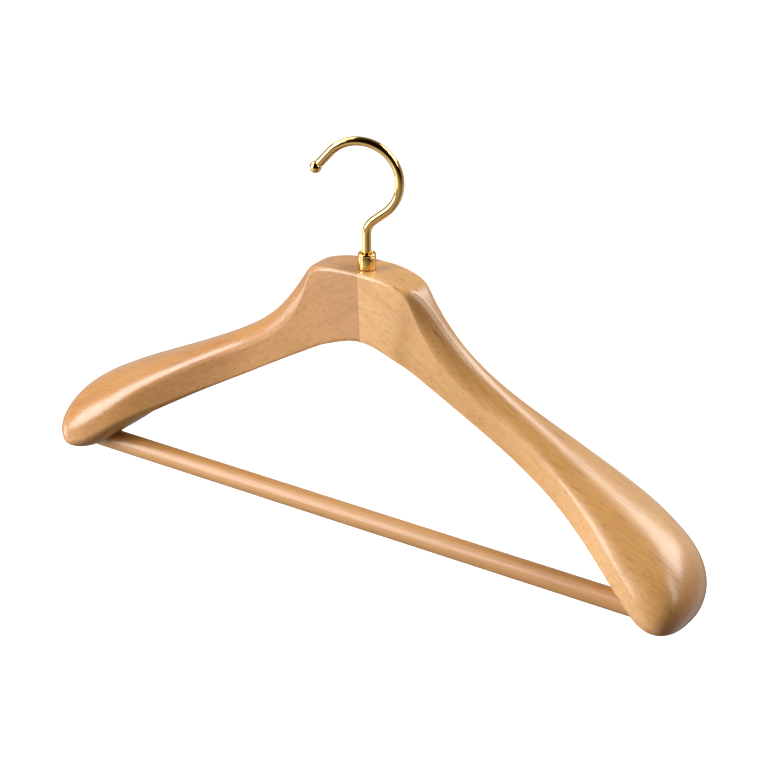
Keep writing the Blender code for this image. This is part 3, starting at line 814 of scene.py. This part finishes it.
def dowel_hole(node):
    """A hole along X that leaves a joint dowel its gap all round."""
    low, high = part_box(node)
    radius = (high.y - low.y) / 2 + SEAT_GAP
    middle = (low + high) / 2
    return lying_rod(f"{node}_hole", radius, low.x - SEAT_GAP, high.x + SEAT_GAP, middle)


def mark_cut(arm, side):
    """Stores how the surface cuts the board.

    The darkening value is the cosine between its normal and the grain, which runs outwards and down;
    the beech darkens with it, partly as end grain and partly as painted shade under the round ends.
    ALONG_LAYERS is that between its normal and Y, which the layers of growth lie square to.
    """
    normals = np.zeros(3 * len(arm.data.vertices), np.float32)
    arm.data.vertices.foreach_get("normal", normals)
    grain = (side * math.cos(GRAIN_ANGLE), 0, -math.sin(GRAIN_ANGLE))
    normals = normals.reshape(-1, 3)
    across_grain = normals @ np.array(grain, np.float32)
    along_layers = np.abs(normals[:, 1])
    for name, shares in ((END_GRAIN_AND_SHADE, across_grain), (ALONG_LAYERS, along_layers)):
        arm.data.attributes.new(name, "FLOAT", "POINT").data.foreach_set("value", shares)


def make_arm(side, name, material):
    """One arm with its bore, channel and holes; side is -1 on the left and 1 on the right."""
    arm = skin(f"{name}_beech", arm_rings(side), material)
    bore = rod("head_bore", SOCKET_HIGH.x + SEAT_GAP, HOOK_LOW.z - SEAT_GAP, HEAD_TOP + CUT_OVERRUN)
    half = BAR_HIGH.x + VISIBLE_GAP
    channel = lying_rod("channel", BAR_RADIUS + VISIBLE_GAP, -half, half, BAR_PLACE)
    dowels = [dowel_hole("joint_dowel_front"), dowel_hole("joint_dowel_rear")]
    pin = "bar_pin_left" if side < 0 else "bar_pin_right"
    carve(arm, [bore, channel, *dowels, pin_hole(pin)])
    mark_cut(arm, side)
    fit(arm, name, "hanger_body")
    return arm


left_arm = make_arm(-1, "left_arm", left_beech)
right_arm = make_arm(1, "right_arm", right_beech)

# %% [markdown]
# ## The trouser bar
#
# A dowel machine turns a square stick into a 13 mm rod and the ends are chamfered to slip into
# their channels. A cylinder would do for the shape, but its ends need the small rounded chamfer,
# so it is a turned profile laid along X.

# %% Make the trouser bar
BAR_CHAMFER = 0.0006
BAR_SIDES = 96
BAR_STEPS = 120
EDGE_POINTS = 7  # along a rounded edge


def bar_profile(radius, half_length, chamfer):
    """From end to end: a quarter circle up to the full radius, a straight run, and one down."""
    turn = np.linspace(0, np.pi / 2, EDGE_POINTS)
    rise = arc((radius - chamfer, chamfer - half_length), chamfer, turn - np.pi / 2)
    run = np.linspace(-half_length + chamfer, half_length - chamfer, BAR_STEPS)[1:-1]
    straight = np.stack([np.full(len(run), radius), run], axis=1)
    return np.concatenate([rise, straight, rise[::-1] * (1, -1)])


bar_rings = lying(turned(bar_profile(BAR_RADIUS, BAR_HIGH.x, BAR_CHAMFER), BAR_SIDES))
trouser_bar = skin("beech_trouser_bar", bar_rings, bar_beech)
moved(trouser_bar, BAR_PLACE)
carve(trouser_bar, [pin_hole("bar_pin_left"), pin_hole("bar_pin_right")])
fit(trouser_bar, "trouser_bar", "hanger_body")

# %% [markdown]
# ## The hook
#
# The hook is one 5.2 mm wire, bent cold round two pins and then plated. Its centre line is a
# straight shank, an arc one way, a short straight slant, a long arc the other way (the bow) and a
# straight tail, so it is written as just that. A circle stands square to the line at every degree
# of bend. Below the head the wire's foot is riveted over the nut, and at its far end it is turned
# thin for the ball.

# %% Make the hook
WIRE_RADIUS = 0.00259  # 0.01 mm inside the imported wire
FERRULE_HEIGHT = 0.0093
STEM_LENGTH = 0.0112
S_BEND_RADIUS = 0.011
S_BEND_ANGLE = math.radians(51.5)
SLANT_LENGTH = 0.0082
BOW_RADIUS = 0.023
BOW_ANGLE = math.radians(190.5)
TAIL_LENGTH = 0.009
HOOK_TURN = math.radians(18.8)
TENON_RADIUS = 0.0013
TENON_LENGTH = 0.0035
RIVET_LIP = 0.0011
RIVET_HEIGHT = 0.0012
WIRE_SIDES = 56
BEND_STEP = math.radians(1)
STRAIGHT_STEP = 0.0006
SHANK_POINTS = 30
STEM_HEIGHT = SEAT_GAP + FERRULE_HEIGHT + STEM_LENGTH


def straight(start, heading, length):
    """Points from a start, which they leave out, along a heading."""
    steps = np.linspace(0, length, round(length / STRAIGHT_STEP) + 1)[1:, None]
    return start + steps * np.array([math.cos(heading), math.sin(heading)])


def wire_line():
    """The bent part of the centre line, across the plane and up from the head, and its heading."""
    s_turn = np.linspace(0, S_BEND_ANGLE, round(S_BEND_ANGLE / BEND_STEP) + 1)
    bow_turn = np.linspace(0, BOW_ANGLE, round(BOW_ANGLE / BEND_STEP) + 1)[1:] - S_BEND_ANGLE
    s_bend = arc((S_BEND_RADIUS, STEM_HEIGHT), S_BEND_RADIUS, np.pi - s_turn)
    slant = straight(s_bend[-1], np.pi / 2 - S_BEND_ANGLE, SLANT_LENGTH)
    out_of_bow = np.array([math.cos(S_BEND_ANGLE), -math.sin(S_BEND_ANGLE)])
    bow_centre = slant[-1] - BOW_RADIUS * out_of_bow
    bow = arc(bow_centre, BOW_RADIUS, bow_turn)
    tail = straight(bow[-1], bow_turn[-1] + np.pi / 2, TAIL_LENGTH)
    on_slant = np.full(len(slant), -S_BEND_ANGLE)
    on_tail = np.full(len(tail), bow_turn[-1])
    turns = np.concatenate([-s_turn, on_slant, bow_turn, on_tail])
    return np.concatenate([s_bend, slant, bow, tail]), turns + np.pi / 2


def hook_rings():
    """Circles square to the line: their plane is spanned by Y and by the line's own normal."""
    line, heading = wire_line()
    foot = HOOK_LOW.z - HEAD_TOP
    shoulder = foot + RIVET_HEIGHT
    rise = np.linspace(shoulder, STEM_HEIGHT, SHANK_POINTS)[:-1]
    shank = np.concatenate([[foot, shoulder], rise])
    forward = np.array([math.cos(heading[-1]), math.sin(heading[-1])])
    tenon = line[-1] + np.array([[0], [TENON_LENGTH]]) * forward
    line = np.concatenate([np.stack([0 * shank, shank], axis=1), line, tenon])
    heading = np.concatenate([np.full(len(shank), np.pi / 2), heading, [heading[-1]] * 2])
    radius = np.full(len(line), WIRE_RADIUS)
    radius[:2] += RIVET_LIP
    radius[-2:] = TENON_RADIUS
    angle = np.linspace(0, 2 * np.pi, WIRE_SIDES, endpoint=False)
    out = radius[:, None] * np.cos(angle)
    x = line[:, :1] - np.sin(heading)[:, None] * out
    z = line[:, 1:] + np.cos(heading)[:, None] * out
    return np.stack([x, radius[:, None] * np.sin(angle), z], axis=-1)


to_hook_plane = Matrix.Translation(head_top) @ Matrix.Rotation(HOOK_TURN, 4, "Z")
hook = skin("brass_hook", hook_rings(), polished_brass)
hook.data.transform(to_hook_plane)
fit(hook, "hook", "hook_body")

# %% [markdown]
# ### The ball tip
#
# A ball keeps the cut end of the wire from catching on cloth. It is turned from rod and has a
# short neck where it meets the wire. Its profile is a circle that starts at the neck.

# %% Make the ball
BALL_RADIUS = 0.0035
BALL_BORE = TENON_RADIUS + SEAT_GAP
BALL_NECK_RADIUS = BALL_BORE + 0.0006
BALL_NECK_LENGTH = 0.0006
BALL_POINTS = 48
BALL_SIDES = 64

line, heading = wire_line()
neck_angle = math.asin(BALL_NECK_RADIUS / BALL_RADIUS)
ball_centre = SEAT_GAP + BALL_NECK_LENGTH + BALL_RADIUS * math.cos(neck_angle)
turn = np.linspace(neck_angle, np.pi, BALL_POINTS)[:-1]
ball_profile = [
    (BALL_BORE, TENON_LENGTH + SEAT_GAP),
    (BALL_BORE, SEAT_GAP),
    (BALL_NECK_RADIUS, SEAT_GAP),
]
ball_profile += list(zip(BALL_RADIUS * np.sin(turn), ball_centre - BALL_RADIUS * np.cos(turn)))
ball = skin("brass_ball_tip", turned(ball_profile, BALL_SIDES), polished_brass)
tail_heading = Vector((math.cos(heading[-1]), 0, math.sin(heading[-1])))
along_wire = tail_heading.to_track_quat("Z", "Y").to_matrix().to_4x4()
wire_end = Matrix.Translation((line[-1][0], 0, line[-1][1]))
ball.data.transform(to_hook_plane @ wire_end @ along_wire)
fit(ball, "ball_tip", "hook_body")

# %% [markdown]
# ### The ferrule
#
# The ferrule is a collar turned in one go: a plain wall with broken edges, a narrow groove, and a
# round bead of the same width that stands like a ring round a little well. The wire rises from it.

# %% Make the ferrule
FERRULE_LOW, FERRULE_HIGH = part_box("ferrule")
FERRULE_RADIUS = FERRULE_HIGH.x
WIRE_HOLE = WIRE_RADIUS + SEAT_GAP
BEAD_RADIUS = 0.00095
BEAD_POINTS = 40
EDGE_ROUND = 0.0003
FERRULE_SIDES = 128


def ferrule_profile(low, high):
    """Up the outside from the foot, over the bead, down into the well and back down the bore."""
    wall_top = high - 2 * BEAD_RADIUS
    inside_edge = FERRULE_RADIUS - EDGE_ROUND
    quarter = np.linspace(0, np.pi / 2, EDGE_POINTS)
    foot = arc((inside_edge, low + EDGE_ROUND), EDGE_ROUND, quarter - np.pi / 2)
    shoulder = arc((inside_edge, wall_top - EDGE_ROUND), EDGE_ROUND, quarter)
    bead_middle = (FERRULE_RADIUS - BEAD_RADIUS, high - BEAD_RADIUS)
    bead = arc(bead_middle, BEAD_RADIUS, np.radians(np.linspace(-60, 180, BEAD_POINTS)))
    well = [(FERRULE_RADIUS - 2 * BEAD_RADIUS, wall_top), (WIRE_HOLE, wall_top), (WIRE_HOLE, low)]
    return np.concatenate([foot, shoulder, bead, well])


ferrule_rings = turned(ferrule_profile(FERRULE_LOW.z, FERRULE_HIGH.z), FERRULE_SIDES)
ferrule = skin("brass_ferrule", ferrule_rings, polished_brass, looped=True)
fit(ferrule, "ferrule", "hanger_body")

# %% [markdown]
# ## The pieces inside
#
# The socket, washer, nut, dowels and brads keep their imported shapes, because almost nothing of
# them shows. They get the finish of what they are: turned brass, drawn steel and bare beech.

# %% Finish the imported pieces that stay
inner_finish = {
    "socket": turned_brass,
    "shank_nut": turned_brass,
    "thrust_washer": drawn_steel,
    "bar_pin_left": drawn_steel,
    "bar_pin_right": drawn_steel,
    "joint_dowel_front": dowel_beech,
    "joint_dowel_rear": dowel_beech,
}
for name, material in inner_finish.items():
    node = frame["nodes"][name]
    node.data.materials.clear()
    node.data.materials.append(material)
print(f"{len(inner_finish)} packed pieces refinished")

# %% [markdown]
# ## The dressed size
#
# The dressed hanger must fill the same box as the imported one. Both boxes are measured, and
# how far the dressed one reaches past the imported one is printed in millimetres.

# %% Measure both boxes
dressed_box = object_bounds()
boxes = {
    "cad": [list(corner) for corner in cad_box],
    "dressed": [list(corner) for corner in dressed_box],
}
growth = 1000 * (np.array(boxes["dressed"]) - np.array(boxes["cad"]))
print("dressed box minus packed box, mm:", growth.round(2).tolist())
